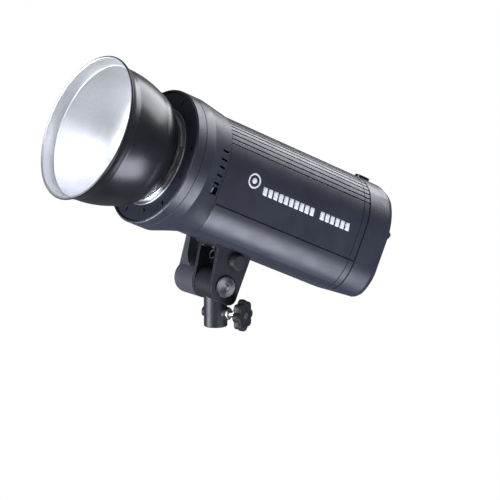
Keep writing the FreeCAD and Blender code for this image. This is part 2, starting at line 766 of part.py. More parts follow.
def make_lamp():
    """Flash tube, modelling lamp and the glass dome over them."""
    bulkhead = prism("YZ", [section(d.wall + 1.3), split_circle(20)], d.front_seam + 0.6, 3)
    node("front_bulkhead", LAMP, bulkhead)

    face = d.face_station
    deck_back = face - 11.5
    deck = tube("x", (deck_back, 0, 0), 42, 12.5, 5)
    post = cylinder("x", (88.6, 0, 36), 3, deck_back - 88.6)
    posts = around(post, Vector(1, 0, 0), (30, 150, 270))
    leg_hole = cylinder("x", (120, 0, 24), 2.6, 60)
    leg_holes = around(leg_hole, Vector(1, 0, 0), (0, 180))
    node("flash_tube_base", LAMP, cut([deck] + posts, leg_holes))

    ring = shape_object(Part.makeTorus(24, 4, Vector(float(face) + 6, 0, 0), Vector(1, 0, 0)))
    leg = cylinder("x", (deck_back - 4, 0, 24), 2.5, 20)
    node("flash_tube", LAMP, joined([ring] + around(leg, Vector(1, 0, 0), (0, 180))))

    core = cylinder("x", (90, 0, 0), 12, deck_back - 90)
    fin = block((90, -0.8, 10), (deck_back - 2, 0.8, 20))
    fins = around(fin, Vector(1, 0, 0), [24 * k + 12 for k in range(15)])
    node("lamp_heatsink", LAMP, joined([core] + fins))
    node("modelling_lamp", LAMP, cylinder("x", (deck_back, 0, 0), 12, 8))

    dome_base = deck_back + 5.1
    straight = face + 8
    radius = d.dome_radius
    glass = 2
    bulge = (radius * radius + (d.dome_tip - straight) * (d.dome_tip - straight)) / (
        (d.dome_tip - straight) * 2)
    node("glass_dome", LAMP, lathe([
        (dome_base, radius - glass),
        (dome_base, radius),
        (straight, radius, -bulge),
        (d.dome_tip, 0),
        (d.dome_tip - glass, 0, bulge - glass),
        (straight, radius - glass),
    ]))


# --------------------------------------------------------------------------- reflector


def make_reflector():
    face = d.face_station
    mouth = d.mouth_station
    skin = d.skin
    band = mouth - d.band_length
    wide = d.bowl_radius
    shoulder = (face + 36, 75.8)
    neck = (face + 10, 59.5)
    node("reflector_bowl", LAMP, lathe([
        (face + 5, 49),
        (face + 5, 53.5, -7),
        (*neck, -45),
        (*shoulder, -130),
        (band, wide),
        (band, wide + 1.2),
        (mouth - 3, wide + 4.4),
        (mouth - 3, d.mouth_radius),
        (mouth - 1.5, d.mouth_radius, -1.5),
        (mouth, d.mouth_radius - 1.5, -1.5),
        (mouth - 1.5, wide + 4.4 - skin),
        (band + skin, wide + 1.2 - skin),
        (band + skin, wide - skin, 130 - skin),
        (shoulder[0] + skin / 2, shoulder[1] - skin, 45 - skin),
        (neck[0] + skin, neck[1] - skin, 7 - skin),
        (face + 5 + skin, 53.5 - skin),
        (face + 5 + skin, 49),
    ]))

    spigot = d.mount_bore - 0.4
    collar = lathe([
        (face - 10, spigot - 3),
        (face - 10, spigot),
        (face + 0.4, spigot),
        (face + 0.4, 57.5),
        (face + 2.4, 57.5, -1.3),
        (face + 2.4, 55),
        (face + 4.9, 55),
        (face + 4.9, spigot - 3),
    ])
    lug = sector(d.groove_bore - 0.4, spigot - 1, 24, (face - 7.8, face - 4.4))
    lugs = around(lug, Vector(1, 0, 0), [120 * k + 90 + 30 for k in range(3)])
    pin_slot = sector(d.pin_orbit + 2.3, d.pin_orbit - 2.3, float(d.bayonet_turn) + 5, (face, face + 3))
    middle = float(d.pin_angle) + float(d.bayonet_turn) / 2
    slots = around(pin_slot, Vector(1, 0, 0), [middle])
    node("reflector_mount_ring", LAMP, cut([collar] + lugs, slots))


# --------------------------------------------------------------------------- casings


def arch_reach(angle):
    """Distance from the arch's centre to the casing at an angle above the side."""
    centre_height = float(d.arch_centre)
    direction = Vector(math.cos(angle), math.sin(angle), 0)
    start = Vector(float(d.half_width), float(d.shoulder_start), 0)
    end = Vector(float(d.shoulder_side), float(d.shoulder_height), 0)
    if math.atan2(end.y - centre_height, end.x) < angle:
        return float(d.arch_radius)
    centre = arc_through(start, end, float(d.shoulder_radius)).Center
    offset = Vector(0, centre_height, 0) - centre
    along = direction.dot(offset)
    return -along + math.sqrt(along ** 2 - offset.dot(offset) + float(d.shoulder_radius) ** 2)


def make_upper_shell():
    """The arched cover with its lengthwise cooling grooves."""
    seam = d.shell_seam + d.seam_gap / 2
    start = d.rear_seam + d.seam_gap / 2
    length = d.front_seam - d.seam_gap / 2 - start
    outer = section()
    inner = section(d.wall)
    outline = [(outer[2][0], seam)] + outer[3:7] + [(outer[7][0], seam), (inner[7][0], seam)]
    outline += [(inner[6][0], inner[6][1], -inner[5][2]), (inner[5][0], inner[5][1], -inner[4][2]),
                (inner[4][0], inner[4][1], -inner[3][2]), (inner[3][0], inner[3][1]), (inner[2][0], seam)]
    shell = prism("YZ", [outline], start, length)
    centre_height = float(d.arch_centre)
    depth = 1.3
    grooves = []
    count = int((180 - 2 * float(d.rib_first)) / float(d.rib_pitch)) + 1
    for index in range(count):
        degrees = float(d.rib_first) + index * float(d.rib_pitch)
        angle = math.radians(degrees if degrees <= 90 else 180 - degrees)
        reach = arch_reach(angle)
        groove = Part.makeBox(float(length) + 20, 6, 1.8, Vector(float(start) - 10, reach - depth, -0.9))
        groove.Placement = Placement(Vector(0, 0, centre_height), Rotation(Vector(1, 0, 0), degrees))
        grooves.append(groove)
    node("upper_shell", LAMP, cut([shell], [shape_object(Part.makeCompound(grooves)), seam_groove()]))


def seam_groove():
    """A fine groove round the casing, ahead of the rear seam."""
    start = d.rear_seam + 10
    wide, depth = 0.8, 0.7
    outside = prism("YZ", [section(-3)], start, wide)
    core = prism("YZ", [section(depth)], start - 1, wide + 2)
    return cut([outside], [core])


BODY_SCREWS = [(x, y) for x in (-130, 68) for y in (-25, 25)]


def make_lower_shell():
    seam = d.shell_seam - d.seam_gap / 2
    start = d.rear_seam + d.seam_gap / 2
    length = d.front_seam - d.seam_gap / 2 - start
    outer = section()
    inner = section(d.wall)
    outline = [(outer[7][0], seam, outer[7][2]), outer[8], outer[9], outer[0], outer[1],
               (outer[2][0], seam), (inner[2][0], seam, -inner[1][2]), inner[1][:2], inner[0],
               inner[9], (inner[8][0], inner[8][1], -inner[7][2]), (inner[7][0], seam)]
    shell = prism("YZ", [outline], start, length)
    bosses = [cylinder("z", (x, y, d.body_floor + 1), 5, 8) for x, y in BODY_SCREWS]
    threads = [cylinder("z", (x, y, d.body_floor + 1), 4.5, 9) for x, y in YOKE_SCREWS]
    tools = [seam_groove()]
    for x, y in BODY_SCREWS:
        tools.append(cylinder("z", (x, y, d.body_floor - 1), 3.4, 4))
        tools.append(cylinder("z", (x, y, d.body_floor - 1), 1.6, 12))
    for x, y in YOKE_SCREWS:
        tools.append(cylinder("z", (x, y, d.body_floor - 1), 2, 8))
    node("lower_shell", LAMP, cut([shell] + bosses + threads, tools))

    screws = []
    for x, y in BODY_SCREWS:
        head = cylinder("z", (x, y, d.body_floor + 0.3), 3.2, 2.6)
        shank = cylinder("z", (x, y, d.body_floor + 0.3), 1.5, 9)
        screws.append(cut([head, shank], [slot_box(x, y, d.body_floor + 0.3)]))
    node("housing_screws", LAMP, group(screws))


def make_rear_housing():
    """The rear cap: rounded to the rear, open for the control panel and the battery."""
    face = d.rear_face
    start = d.rear_seam - d.seam_gap / 2
    outside = lofted([(start, section()), (face + 11, section()), (face + 4, section(2.4)),
                      (face, section(8))])
    hollow = lofted([(start + 1, section(d.wall)), (face + 11, section(d.wall)),
                     (face + 5, section(5))])
    shell = shape_object(outside.cut(hollow))
    panel = prism("YZ", [panel_outline(-0.2)], face - 1, 4.5)
    window = prism("YZ", [panel_outline(3)], face - 1, 10)
    gap = d.battery_gap
    bay = slab((face - 1, face + 10), d.battery_side + gap,
               (d.battery_floor - gap, d.battery_roof + gap))
    sensor = sensor_oval(0.2, 60)
    node("rear_housing", LAMP, cut([shell], [panel, window, bay, sensor]))


def panel_outline(inset):
    """The arched control panel, smaller by an inset."""
    inset = size(inset)
    whole = section(d.panel_inset + inset)
    floor = d.panel_floor + inset
    return [(whole[3][0], floor)] + whole[3:7] + [(whole[6][0], floor)]


def sensor_oval(grow, depth):
    """The oval that the optical slave sensor sits in, over the top of the rear housing."""
    half = 7 + grow
    front, back = -158, -165
    outline = [(back, -half), (front, -half, half), (front + half, 0, half), (front, half),
               (back, half, half), (back - half, 0, half)]
    return prism("XY", [outline], 78.6 - depth, depth + 4)


# --------------------------------------------------------------------------- rear controls

# label, sideways, height, radius
BUTTONS = [
    ("test_button", -30, 47, 5),
    ("power_button", -30, 31, 5),
    ("menu_button", -30, 15, 5),
    ("sync_button", 32, 46, 3.3),
    ("lamp_button", 38.5, 35, 3.3),
    ("sound_button", 30.5, 33, 3.3),
]
LOCK_BUTTON = (41, 20)
LCD = SimpleNamespace(side=2, height=34, half_width=21, half_height=14.5)


def make_rear_controls():
    face = d.rear_face
    plate = prism("YZ", [panel_outline(0)], face + 0.4, 3)
    holes = [cylinder("x", (face - 5, y, z), radius + 0.25, 20) for _, y, z, radius in BUTTONS]
    lcd_low = (LCD.side - LCD.half_width, LCD.height - LCD.half_height)
    lcd_high = (LCD.side + LCD.half_width, LCD.height + LCD.half_height)
    holes += [
        block((face - 5, *lcd_low), (face + 9, *lcd_high)),
        cylinder("x", (face - 5, *LOCK_BUTTON), 5.3, 20),
        cylinder("x", (face - 5, -39, 37), 3, 20),
        block((face - 5, 35, 6), (face + 9, 44, 9.5)),
        tube("x", (face, -42, 9), 3.2, 2.2, 1.2),
    ]
    node("control_panel", LAMP, cut([plate], holes))

    gap = 0.1
    window = block((face + 0.6, lcd_low[0] + gap, lcd_low[1] + gap),
                   (face + 2, lcd_high[0] - gap, lcd_high[1] - gap))
    node("lcd_window", LAMP, window)
    module = block((face + 3.6, lcd_low[0] - 2, lcd_low[1] - 2),
                   (face + 6.6, lcd_high[0] + 2, lcd_high[1] + 2))
    glass = block((face + 2.1, lcd_low[0] + gap, lcd_low[1] + gap),
                  (face + 3.6, lcd_high[0] - gap, lcd_high[1] - gap))
    node("lcd_module", LAMP, joined([module, glass]))

    for label, y, z, radius in BUTTONS:
        cap = cylinder("x", (face - 1, y, z), radius, 5)
        cap = rounded(cap, 0.6, lambda edge: edge.BoundBox.XMax < float(face) - 0.5)
        stem = cylinder("x", (face + 4, y, z), radius * 0.6, 2.5)
        node(label, LAMP, joined([cap, stem]))

    knob = cylinder("x", (face - 10, *LOCK_BUTTON), 5, 14)
    knob = rounded(knob, 1.2, lambda edge: edge.BoundBox.XMax < float(face) - 9)
    node("battery_lock_button", LAMP, knob)

    jack = tube("x", (face + 0.2, -39, 37), 3, 1.7, 9)
    node("sync_socket", LAMP, jack)
    port = cut([block((face + 0.6, 35.1, 6.1), (face + 6, 43.9, 9.4))],
               [block((face, 36, 6.9), (face + 5, 43, 8.6))])
    node("usb_socket", LAMP, port)

    board = block((face + 9.6, -44, 5), (face + 11.2, 44, 52))
    node("control_board", LAMP, board)
    lens = sensor_oval(0, 6)
    lens = rounded(lens, 1, lambda edge: edge.BoundBox.ZMin > 82)
    node("slave_sensor", LAMP, lens)


# --------------------------------------------------------------------------- battery


def make_battery():
    face = d.rear_face
    side = d.battery_side
    floor, roof = d.battery_floor, d.battery_roof
    cap = slab((face - 1, face + 11), side, (floor, roof))
    recess_side = d.handle_width / 2 + 2.5
    recess = slab((face - 2, face + 7.6), recess_side, (floor + 7, roof - 7))
    pivot = (face + 2.6, floor + 12)
    pin_hole = cylinder("y", (pivot[0], -recess_side - 4, pivot[1]), 2.05, recess_side * 2 + 8)
    cap = rounded(cap, 1.5, lambda edge: edge.BoundBox.XMax < float(face) - 0.5)
    lip = [slab((face + 4 + 2 * k, face + 4.8 + 2 * k), 60, (floor - 2, floor + 0.5)) for k in range(2)]
    node("battery_end_cap", LAMP, cut([cap], [recess, pin_hole] + lip))

    wide = d.handle_width / 2
    bar = 5
    reach = roof - 10
    arms = []
    for sign in (-1, 1):
        inner = wide - bar if sign > 0 else -wide
        arms.append(block((pivot[0] - 2.4, inner, pivot[1] - 3), (pivot[0] + 2.6, inner + bar, reach)))
        arms.append(cylinder("y", (pivot[0], inner, pivot[1]), 3.4, bar))
    grip = slab((pivot[0] - 2.4, pivot[0] + 2.6), wide, (reach - 7, reach))
    pins = cylinder("y", (pivot[0], -recess_side - 3, pivot[1]), 2, (recess_side + 3) * 2)
    middle = slab((pivot[0] - 4, pivot[0] + 4), wide - bar, (pivot[1] - 4, pivot[1] + 4))
    node("battery_handle", LAMP, cut(arms + [grip, pins], [middle]))

    gap = d.battery_gap
    front = d.battery_front
    case_side = side - 1
    case_floor, case_roof = floor + 1, roof - 1
    case = slab((face + 11, front), case_side, (case_floor, case_roof))
    hollow = slab((face + 13, front - 2), case_side - 2, (case_floor + 2, case_roof - 2))
    label_recess = slab((face + 20, front - 12), case_side - 8, (case_roof - 0.8, case_roof + 2))
    rails = [block((face + 20, y, case_floor + 20), (front - 5, y + 3, case_floor + 24))
             for y in (-case_side - 2.2, case_side - 0.8)]
    node("battery_case", LAMP, cut([case], [hollow, label_recess] + rails))

    cells = []
    radius = d.cell_radius
    for column in range(4):
        for layer in range(2):
            for bank in range(2):
                x = face + 15 + bank * (d.cell_length + 1)
                y = (column - 1.5) * (radius * 2 + 1)
                z = case_floor + 4 + radius + layer * (radius * 2 + 4)
                cells.append(cylinder("x", (x, y, z), radius, d.cell_length))
    node("battery_cells", LAMP, group(cells))

    blades = [block((front, y - 1.5, -40), (front + 4, y + 1.5, -28)) for y in (-20, 0, 20)]
    node("battery_terminals", LAMP, group(blades))

    liner_side = side + gap
    liner = slab((face + 8, front + 9), liner_side + 1.2, (floor - gap - 1.2, roof + gap + 1.2))
    space = slab((face + 7, front + 7), liner_side, (floor - gap, roof + gap))
    plug = block((front + 4, -24, -42), (front + 12, 24, -26))
    node("battery_bay", LAMP, cut([liner], [space, plug]))


# --------------------------------------------------------------------------- inside


def make_electronics():
    cans = []
    for y in (-19, 19):
        for z in (-42, -4):
            cans.append(cylinder("x", (-28, y, z), d.capacitor_radius, d.capacitor_length))
    node("flash_capacitors", LAMP, group(cans))

    board = block((-140, -48, 22), (45, 48, 23.8))
    pillars = [cylinder("z", (x, y, 1.2), 3, 20.8) for x in (-130, -50) for y in (-40, 40)]
    parts = [
        block((-130, -36, 23.8), (-95, 0, 50)),
        block((-85, -30, 23.8), (-50, 30, 46)),
        block((-40, -38, 23.8), (20, -30, 52)),
        cylinder("z", (-110, 22, 23.8), 12, 24),
        cylinder("z", (5, 12, 23.8), 10, 26),
    ]
    node("power_board", LAMP, joined([board] + pillars + parts))

    half = d.fan_size / 2
    height = d.fan_height
    start = 60
    frame = block((start, -half, height - half), (start + 15, half, height + half))
    opening = cylinder("x", (start - 1, 0, height), half - 2, 20)
    hub = cylinder("x", (start + 12.5, 0, height), 11, 2.5)
    strut = block((start + 12.5, -half + 1, height - 1.5), (start + 15, half - 1, height + 1.5))
    upright = block((start + 12.5, -1.5, height - half + 1), (start + 15, 1.5, height + half - 1))
    spindle = cylinder("x", (start + 2, 0, height), 2, 11)
    node("fan_frame", LAMP, joined([cut([frame], [opening]), hub, strut, upright, spindle]))

    rotor_hub = tube("x", (start + 1, 0, 0), 10, 2.05, 11)
    blade = block((start + 2, -0.7, 9), (start + 11, 0.7, half - 4))
    blade = turned_copy(blade, Vector(0, 0, 1), 35, Vector(start + 6.5, 0, 0))
    blades = around(blade, Vector(1, 0, 0), [360 / 7 * k for k in range(7)])
    rotor = joined([rotor_hub] + blades)
    node("fan_rotor", LAMP.multiply(Placement(Vector(0, 0, float(height)), Rotation())), rotor)


make_stand_socket()
make_stand_clamp()
make_yoke()
make_umbrella_holder()
make_pivot_bolt()
make_lever()
make_front_housing()
make_mount()
make_lamp()
make_reflector()
make_upper_shell()
make_lower_shell()
make_rear_housing()
make_rear_controls()
make_battery()
make_electronics()
doc.recompute()

# --------------------------------------------------------------------------- check and write

for thing in doc.Objects:
    if "Invalid" in thing.State or "Error" in thing.State:
        raise RuntimeError(f"{thing.Name} ({thing.Label}) failed: {thing.State}")

os.makedirs("parts", exist_ok=True)
for thing in nodes:
    if thing.Shape.isNull() or not thing.Shape.isValid():
        raise RuntimeError(f"{thing.Label} has no valid shape")
    thing.Shape.exportStep(f"parts/{thing.Label}.step")
print(len(nodes), "sub-parts written")
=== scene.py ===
import json
import math

import bmesh
import bpy
from mathutils import Matrix, Vector
from mathutils.bvhtree import BVHTree


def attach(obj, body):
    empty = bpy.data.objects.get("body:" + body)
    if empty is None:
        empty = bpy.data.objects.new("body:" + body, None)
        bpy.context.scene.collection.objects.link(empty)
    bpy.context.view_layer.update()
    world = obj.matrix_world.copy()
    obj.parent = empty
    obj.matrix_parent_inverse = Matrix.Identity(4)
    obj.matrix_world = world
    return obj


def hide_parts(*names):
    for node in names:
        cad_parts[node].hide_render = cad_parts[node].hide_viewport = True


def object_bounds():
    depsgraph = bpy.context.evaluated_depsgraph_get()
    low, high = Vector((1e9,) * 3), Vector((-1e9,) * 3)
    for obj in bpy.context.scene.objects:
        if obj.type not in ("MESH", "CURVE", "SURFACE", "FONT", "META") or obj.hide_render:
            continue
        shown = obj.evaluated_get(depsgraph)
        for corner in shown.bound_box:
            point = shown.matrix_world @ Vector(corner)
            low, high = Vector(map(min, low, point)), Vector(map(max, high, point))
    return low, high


# Battery monolight with a 7 inch reflector on a tilting stand adapter.
# Lengths are in metres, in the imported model's frame: +X forward, +Y the lamp's left, +Z up.

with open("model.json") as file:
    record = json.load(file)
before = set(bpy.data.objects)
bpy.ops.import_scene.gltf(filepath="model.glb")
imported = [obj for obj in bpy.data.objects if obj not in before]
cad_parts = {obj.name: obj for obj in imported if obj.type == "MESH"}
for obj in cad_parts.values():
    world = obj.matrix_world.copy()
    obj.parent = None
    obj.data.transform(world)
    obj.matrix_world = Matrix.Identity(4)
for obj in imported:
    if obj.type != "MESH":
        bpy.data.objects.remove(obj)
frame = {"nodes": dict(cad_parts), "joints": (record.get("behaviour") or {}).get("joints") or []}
cad_low, cad_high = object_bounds()

MM = 0.001
# how far prints and the painted-shade seam strips stand off the skin under them
INK_LIFT = 0.12 * MM
# sockets of the mix node when it mixes colours
MIX_FACTOR, MIX_FIRST, MIX_SECOND, MIX_RESULT = 0, 6, 7, 2
NODES = frame["nodes"]
JOINTS = {joint["name"]: joint for joint in frame["joints"]}
SCENE = bpy.context.scene

# --------------------------------------------------------------------------- frames


def axes_matrix(origin, x, y):
    """A frame with its origin and its x and y directions given."""
    x = Vector(x).normalized()
    y = Vector(y).normalized()
    made = Matrix((x, y, x.cross(y))).transposed().to_4x4()
    made.translation = Vector(origin)
    return made


PIVOT = Vector(JOINTS["head_tilt"]["pos_m"])
LEFT = Vector((0, 1, 0))
LIGHT = Vector(JOINTS["reflector_twist"]["axis"])
ON_AXIS = Vector(JOINTS["reflector_twist"]["pos_m"])
# x along the light, y to the lamp's left, z up from the optical axis; x counts from the pivot
LAMP = axes_matrix(ON_AXIS - LIGHT * (ON_AXIS - PIVOT).dot(LIGHT), LIGHT, LEFT)


def turned_axes(joint_name):
    """A frame on a joint, with x along its axis and y level."""
    joint = JOINTS[joint_name]
    axis = Vector(joint["axis"])
    level = Vector((0, 0, 1)).cross(axis)
    if level.length < 0.1:
        level = LEFT
    return axes_matrix(joint.get("pos_m", (0, 0, 0)), axis, level)


def extent(node, place):
    """Lowest and highest corner of a CAD node, measured along another frame's axes."""
    to_local = place.inverted()
    points = [to_local @ vertex.co for vertex in NODES[node].data.vertices]
    low = Vector([min(point[i] for point in points) for i in range(3)])
    high = Vector([max(point[i] for point in points) for i in range(3)])
    return low, high


# --------------------------------------------------------------------------- materials


class Shader:
    """A Principled material with short calls for its nodes."""

    def __init__(self, name, colour, roughness, metallic=0.0, **sockets):
        self.material = bpy.data.materials.new(name)
        self.material.use_nodes = True
        self.tree = self.material.node_tree
        self.surface = self.tree.nodes["Principled BSDF"]
        self.set("Base Color", (*colour, 1))
        self.set("Roughness", roughness)
        self.set("Metallic", metallic)
        for socket, value in sockets.items():
            self.set(socket.replace("_", " "), value)
        self.coords = self.add("ShaderNodeTexCoord").outputs["Object"]
        self.normal = None

    def set(self, socket, value):
        self.surface.inputs[socket].default_value = value

    def add(self, kind, inputs=None, **settings):
        """Adds a node; inputs are numbers, or sockets to link."""
        node = self.tree.nodes.new(kind)
        for key, value in settings.items():
            setattr(node, key, value)
        for key, value in (inputs or {}).items():
            if isinstance(value, bpy.types.NodeSocket):
                self.tree.links.new(value, node.inputs[key])
            else:
                node.inputs[key].default_value = value
        return node

    def stretched(self, scale):
        """The coordinates scaled by a vector, in cells per metre."""
        inputs = {0: self.coords, 1: scale}
        return self.add("ShaderNodeVectorMath", inputs, operation="MULTIPLY").outputs[0]

    def noise(self, scale, detail=3.0, roughness=0.55, distortion=0.0):
        """Noise of a number of cells per metre, or of a scale for each axis."""
        vector = self.coords if isinstance(scale, (int, float)) else self.stretched(scale)
        factor = scale if isinstance(scale, (int, float)) else 1.0
        made = self.add("ShaderNodeTexNoise", {
            "Vector": vector, "Scale": factor, "Detail": detail,
            "Roughness": roughness, "Distortion": distortion})
        return made.outputs["Fac"]

    def spread(self, source, low, high, to_low, to_high):
        """Maps a range of a source to another range."""
        made = self.add("ShaderNodeMapRange", {
            "Value": source, "From Min": low, "From Max": high,
            "To Min": to_low, "To Max": to_high})
        return made.outputs["Result"]

    def combine(self, operation, one, other=0.0):
        """A math operation on two numbers or sockets."""
        return self.add("ShaderNodeMath", {0: one, 1: other}, operation=operation).outputs[0]

    def blend(self, factor, first, second):
        """A mix of two colours, each a triple or a socket."""
        first, second = (
            (*part, 1) if isinstance(part, tuple) else part for part in (first, second))
        inputs = {MIX_FACTOR: factor, MIX_FIRST: first, MIX_SECOND: second}
        return self.add("ShaderNodeMix", inputs, data_type="RGBA").outputs[MIX_RESULT]

    def colour(self, socket):
        self.tree.links.new(socket, self.surface.inputs["Base Color"])

    def clouded(self, source, low, high, dark, light):
        """Colours the surface from dark to light over a range of a source."""
        self.colour(self.blend(self.spread(source, low, high, 0.0, 1.0), dark, light))

    def rough(self, source, low, high, to_low, to_high):
        """Sets the roughness from a range of a source."""
        result = self.spread(source, low, high, to_low, to_high)
        self.tree.links.new(result, self.surface.inputs["Roughness"])

    def bump(self, height, depth, strength=1.0):
        """Adds relief of a depth in metres, on top of any relief so far."""
        inputs = {"Height": height, "Distance": depth, "Strength": strength}
        if self.normal is not None:
            inputs["Normal"] = self.normal
        self.normal = self.add("ShaderNodeBump", inputs).outputs["Normal"]
        self.tree.links.new(self.normal, self.surface.inputs["Normal"])

    def bevel(self, radius):
        """The normal with sharp edges rounded by a radius."""
        return self.add("ShaderNodeBevel", {"Radius": radius}, samples=6).outputs["Normal"]

    def soft_edges(self, radius):
        """Rounds the shading of sharp edges."""
        self.normal = self.bevel(radius)
        self.tree.links.new(self.normal, self.surface.inputs["Normal"])

    def wear_and_highlight_edges(self, radius):
        """High on sharp edges, broken up by noise, for scuffed paint and a painted highlight
        along the edges.
        """
        rounded = self.bevel(radius)
        flat = self.add("ShaderNodeNewGeometry").outputs["Normal"]
        facing = self.add("ShaderNodeVectorMath", {0: rounded, 1: flat}, operation="DOT_PRODUCT")
        edge = self.spread(facing.outputs["Value"], 0.995, 0.9, 0.0, 1.0)
        patches = self.spread(self.noise(220.0, 4.0), 0.42, 0.62, 0.15, 1.0)
        return self.combine("MULTIPLY", edge, patches)


def shade(colour, factor):
    """A colour made lighter or darker by a factor."""
    return tuple(min(1.0, part * factor) for part in colour)


def paint(name, colour, roughness, grain=0.45 * MM, depth=0.02 * MM, wear_and_highlight=0.35, edge=0.5 * MM,
          **sockets):
    """Sprayed or moulded finish: fine grain, cloudy tone, handling marks, and lighter edges,
    partly scuffed paint and partly a painted highlight.
    """
    made = Shader(name, colour, roughness, **sockets)
    made.soft_edges(edge)
    cloud = made.noise(14.0, 4.0)
    tone = made.blend(made.spread(cloud, 0.3, 0.7, 0.0, 1.0),
                      shade(colour, 0.9), shade(colour, 1.1))
    speckle = made.noise(1 / grain, 2.0)
    tone = made.blend(made.spread(speckle, 0.35, 0.7, 0.0, 0.3), tone, shade(colour, 1.5))
    # edges made lighter: partly scuffed paint, partly a painted highlight along them
    if wear_and_highlight > 0:
        rubbed_and_highlit = made.combine("MULTIPLY", made.wear_and_highlight_edges(1.1 * MM), wear_and_highlight)
        tone = made.blend(rubbed_and_highlit, tone, tuple(min(1.0, 0.08 + part * 2.2) for part in colour))
    made.colour(tone)
    smudges = made.noise(38.0, 5.0, 0.65, 0.6)
    made.rough(smudges, 0.3, 0.7, roughness - 0.06, roughness + 0.09)
    made.bump(speckle, depth, 0.8)
    return made


def metal(name, colour, roughness, depth=0.004 * MM):
    """Bare metal with a cloudy tone and fine marks of a depth."""
    made = Shader(name, colour, roughness, metallic=1.0)
    made.soft_edges(0.3 * MM)
    made.clouded(made.noise(60.0, 4.0), 0.3, 0.7, shade(colour, 0.86), shade(colour, 1.08))
    marks = made.noise(2600.0, 2.0)
    made.rough(made.noise(150.0, 4.0), 0.3, 0.7, roughness - 0.03, roughness + 0.08)
    made.bump(marks, depth, 0.3)
    return made


def spun(name, colour, roughness, centre, axis):
    """Turned metal: fine rings round an axis."""
    pitch = 0.3 * MM
    depth = 0.006 * MM
    made = metal(name, colour, roughness)
    offset = made.add("ShaderNodeVectorMath", {0: made.coords, 1: centre}, operation="SUBTRACT")
    across = made.add("ShaderNodeVectorMath", {0: offset.outputs[0], 1: axis},
                      operation="CROSS_PRODUCT")
    radius = made.add("ShaderNodeVectorMath", {0: across.outputs[0]}, operation="LENGTH")
    wobble = made.combine("MULTIPLY", made.noise(900.0, 2.0), pitch * 0.5)
    wavy_radius = made.combine("ADD", radius.outputs["Value"], wobble)
    phase = made.combine("MULTIPLY", wavy_radius, 2 * math.pi / pitch)
    made.bump(made.combine("SINE", phase), depth)
    return made


def faced_steel(name):
    """A lathe-faced head: fine rings whose shine fans out from the middle."""
    made = spun(name, (0.17, 0.17, 0.175), 0.3, PIVOT, LEFT)
    fan = made.add("ShaderNodeTangent", direction_type="RADIAL", axis="Y")
    made.tree.links.new(fan.outputs[0], made.surface.inputs["Tangent"])
    made.set("Anisotropic", 0.85)
    return made


def make_materials():
    """The material for each slot name that the CAD nodes use."""
    slate = (0.0165, 0.0185, 0.029)
    finishes = {
        "casing": paint("slate_casing", slate, 0.36, wear_and_highlight=0.0),
        "casing_top": paint("slate_ribbed", slate, 0.34, wear_and_highlight=0.0),
        "cast_metal": paint("cast_paint", (0.008, 0.0085, 0.0125), 0.44, grain=0.7 * MM,
                            depth=0.03 * MM, wear_and_highlight=0.6, edge=0.7 * MM, Specular_IOR_Level=0.28),
        "black_plastic": paint("black_plastic", (0.009, 0.009, 0.0105), 0.5, wear_and_highlight=0.2,
                               Specular_IOR_Level=0.35),
        "knob_black": paint("knob_rubber", (0.01, 0.01, 0.012), 0.5, grain=0.6 * MM,
                            depth=0.035 * MM, wear_and_highlight=0.3, edge=0.9 * MM, Specular_IOR_Level=0.3),
        "lever_grey": paint("lever_paint", (0.034, 0.036, 0.046), 0.34, wear_and_highlight=0.3,
                            edge=0.8 * MM, Coat_Weight=0.3, Coat_Roughness=0.2),
        "faceplate": paint("faceplate_paint", (0.012, 0.0135, 0.021), 0.34, wear_and_highlight=0.2,
                           Specular_IOR_Level=0.3),
        "battery": paint("battery_plastic", (0.016, 0.017, 0.024), 0.46, wear_and_highlight=0.3, edge=0.6 * MM),
        "panel": paint("panel_film", (0.075, 0.078, 0.09), 0.45, grain=0.25 * MM, wear_and_highlight=0.15),
        "button": paint("button_plastic", (0.02, 0.02, 0.024), 0.42, wear_and_highlight=0.3),
        "button_blue": paint("button_violet", (0.05, 0.045, 0.19), 0.3, wear_and_highlight=0.15),
        "ceramic": paint("ceramic_deck", (0.72, 0.7, 0.66), 0.4, wear_and_highlight=0.0),
        "circuit": paint("circuit_board", (0.02, 0.12, 0.05), 0.4, wear_and_highlight=0.0),
        "can": paint("capacitor_sleeve", (0.03, 0.035, 0.06), 0.35, wear_and_highlight=0.0),
        "cell": paint("cell_sleeve", (0.04, 0.16, 0.3), 0.35, wear_and_highlight=0.0),
        "bright_steel": metal("turned_steel", (0.5, 0.51, 0.53), 0.3),
        "blackened_steel": paint("blackened_steel", (0.016, 0.016, 0.019), 0.34,
                                 grain=0.3 * MM, depth=0.01 * MM, wear_and_highlight=0.5, edge=0.3 * MM),
        "chrome": metal("chrome_plate", (0.8, 0.81, 0.83), 0.1, depth=0.001 * MM),
        "brass": metal("machined_brass", (0.75, 0.56, 0.26), 0.28),
        "aluminium": metal("extruded_aluminium", (0.6, 0.61, 0.63), 0.35),
        "collar": metal("collar_steel", (0.7, 0.71, 0.73), 0.2),
        "reflector": gloss_black("reflector_enamel"),
        "flash_glass": glass("flash_quartz", (0.98, 0.99, 1.0), 0.02),
        "dome_glass": glass("dome_frosted", (0.96, 0.97, 0.98), 0.35),
        "lcd": glass("lcd_window", (0.75, 0.95, 0.87), 0.05),
        "lcd_back": lcd_back("lcd_backing"),
        "sensor": paint("sensor_window", (0.012, 0.008, 0.01), 0.12, wear_and_highlight=0.0, Coat_Weight=0.4),
    }
    return {slot: shader.material for slot, shader in finishes.items()}


def gloss_black(name):
    """Stove enamel over spun sheet: deep gloss, slight orange peel, faint wipe marks."""
    made = Shader(name, (0.007, 0.007, 0.009), 0.27, Specular_IOR_Level=0.5)
    made.clouded(made.noise(25.0, 4.0), 0.35, 0.65, (0.005, 0.005, 0.007), (0.01, 0.01, 0.013))
    wipes = made.noise((40.0, 220.0, 220.0), 5.0, 0.6, 0.8)
    made.rough(wipes, 0.3, 0.75, 0.27, 0.33)
    made.bump(made.noise(420.0, 2.0), 0.02 * MM, 0.5)
    made.bump(made.noise((30.0, 30.0, 30.0), 1.0), 0.12 * MM, 0.4)
    return made


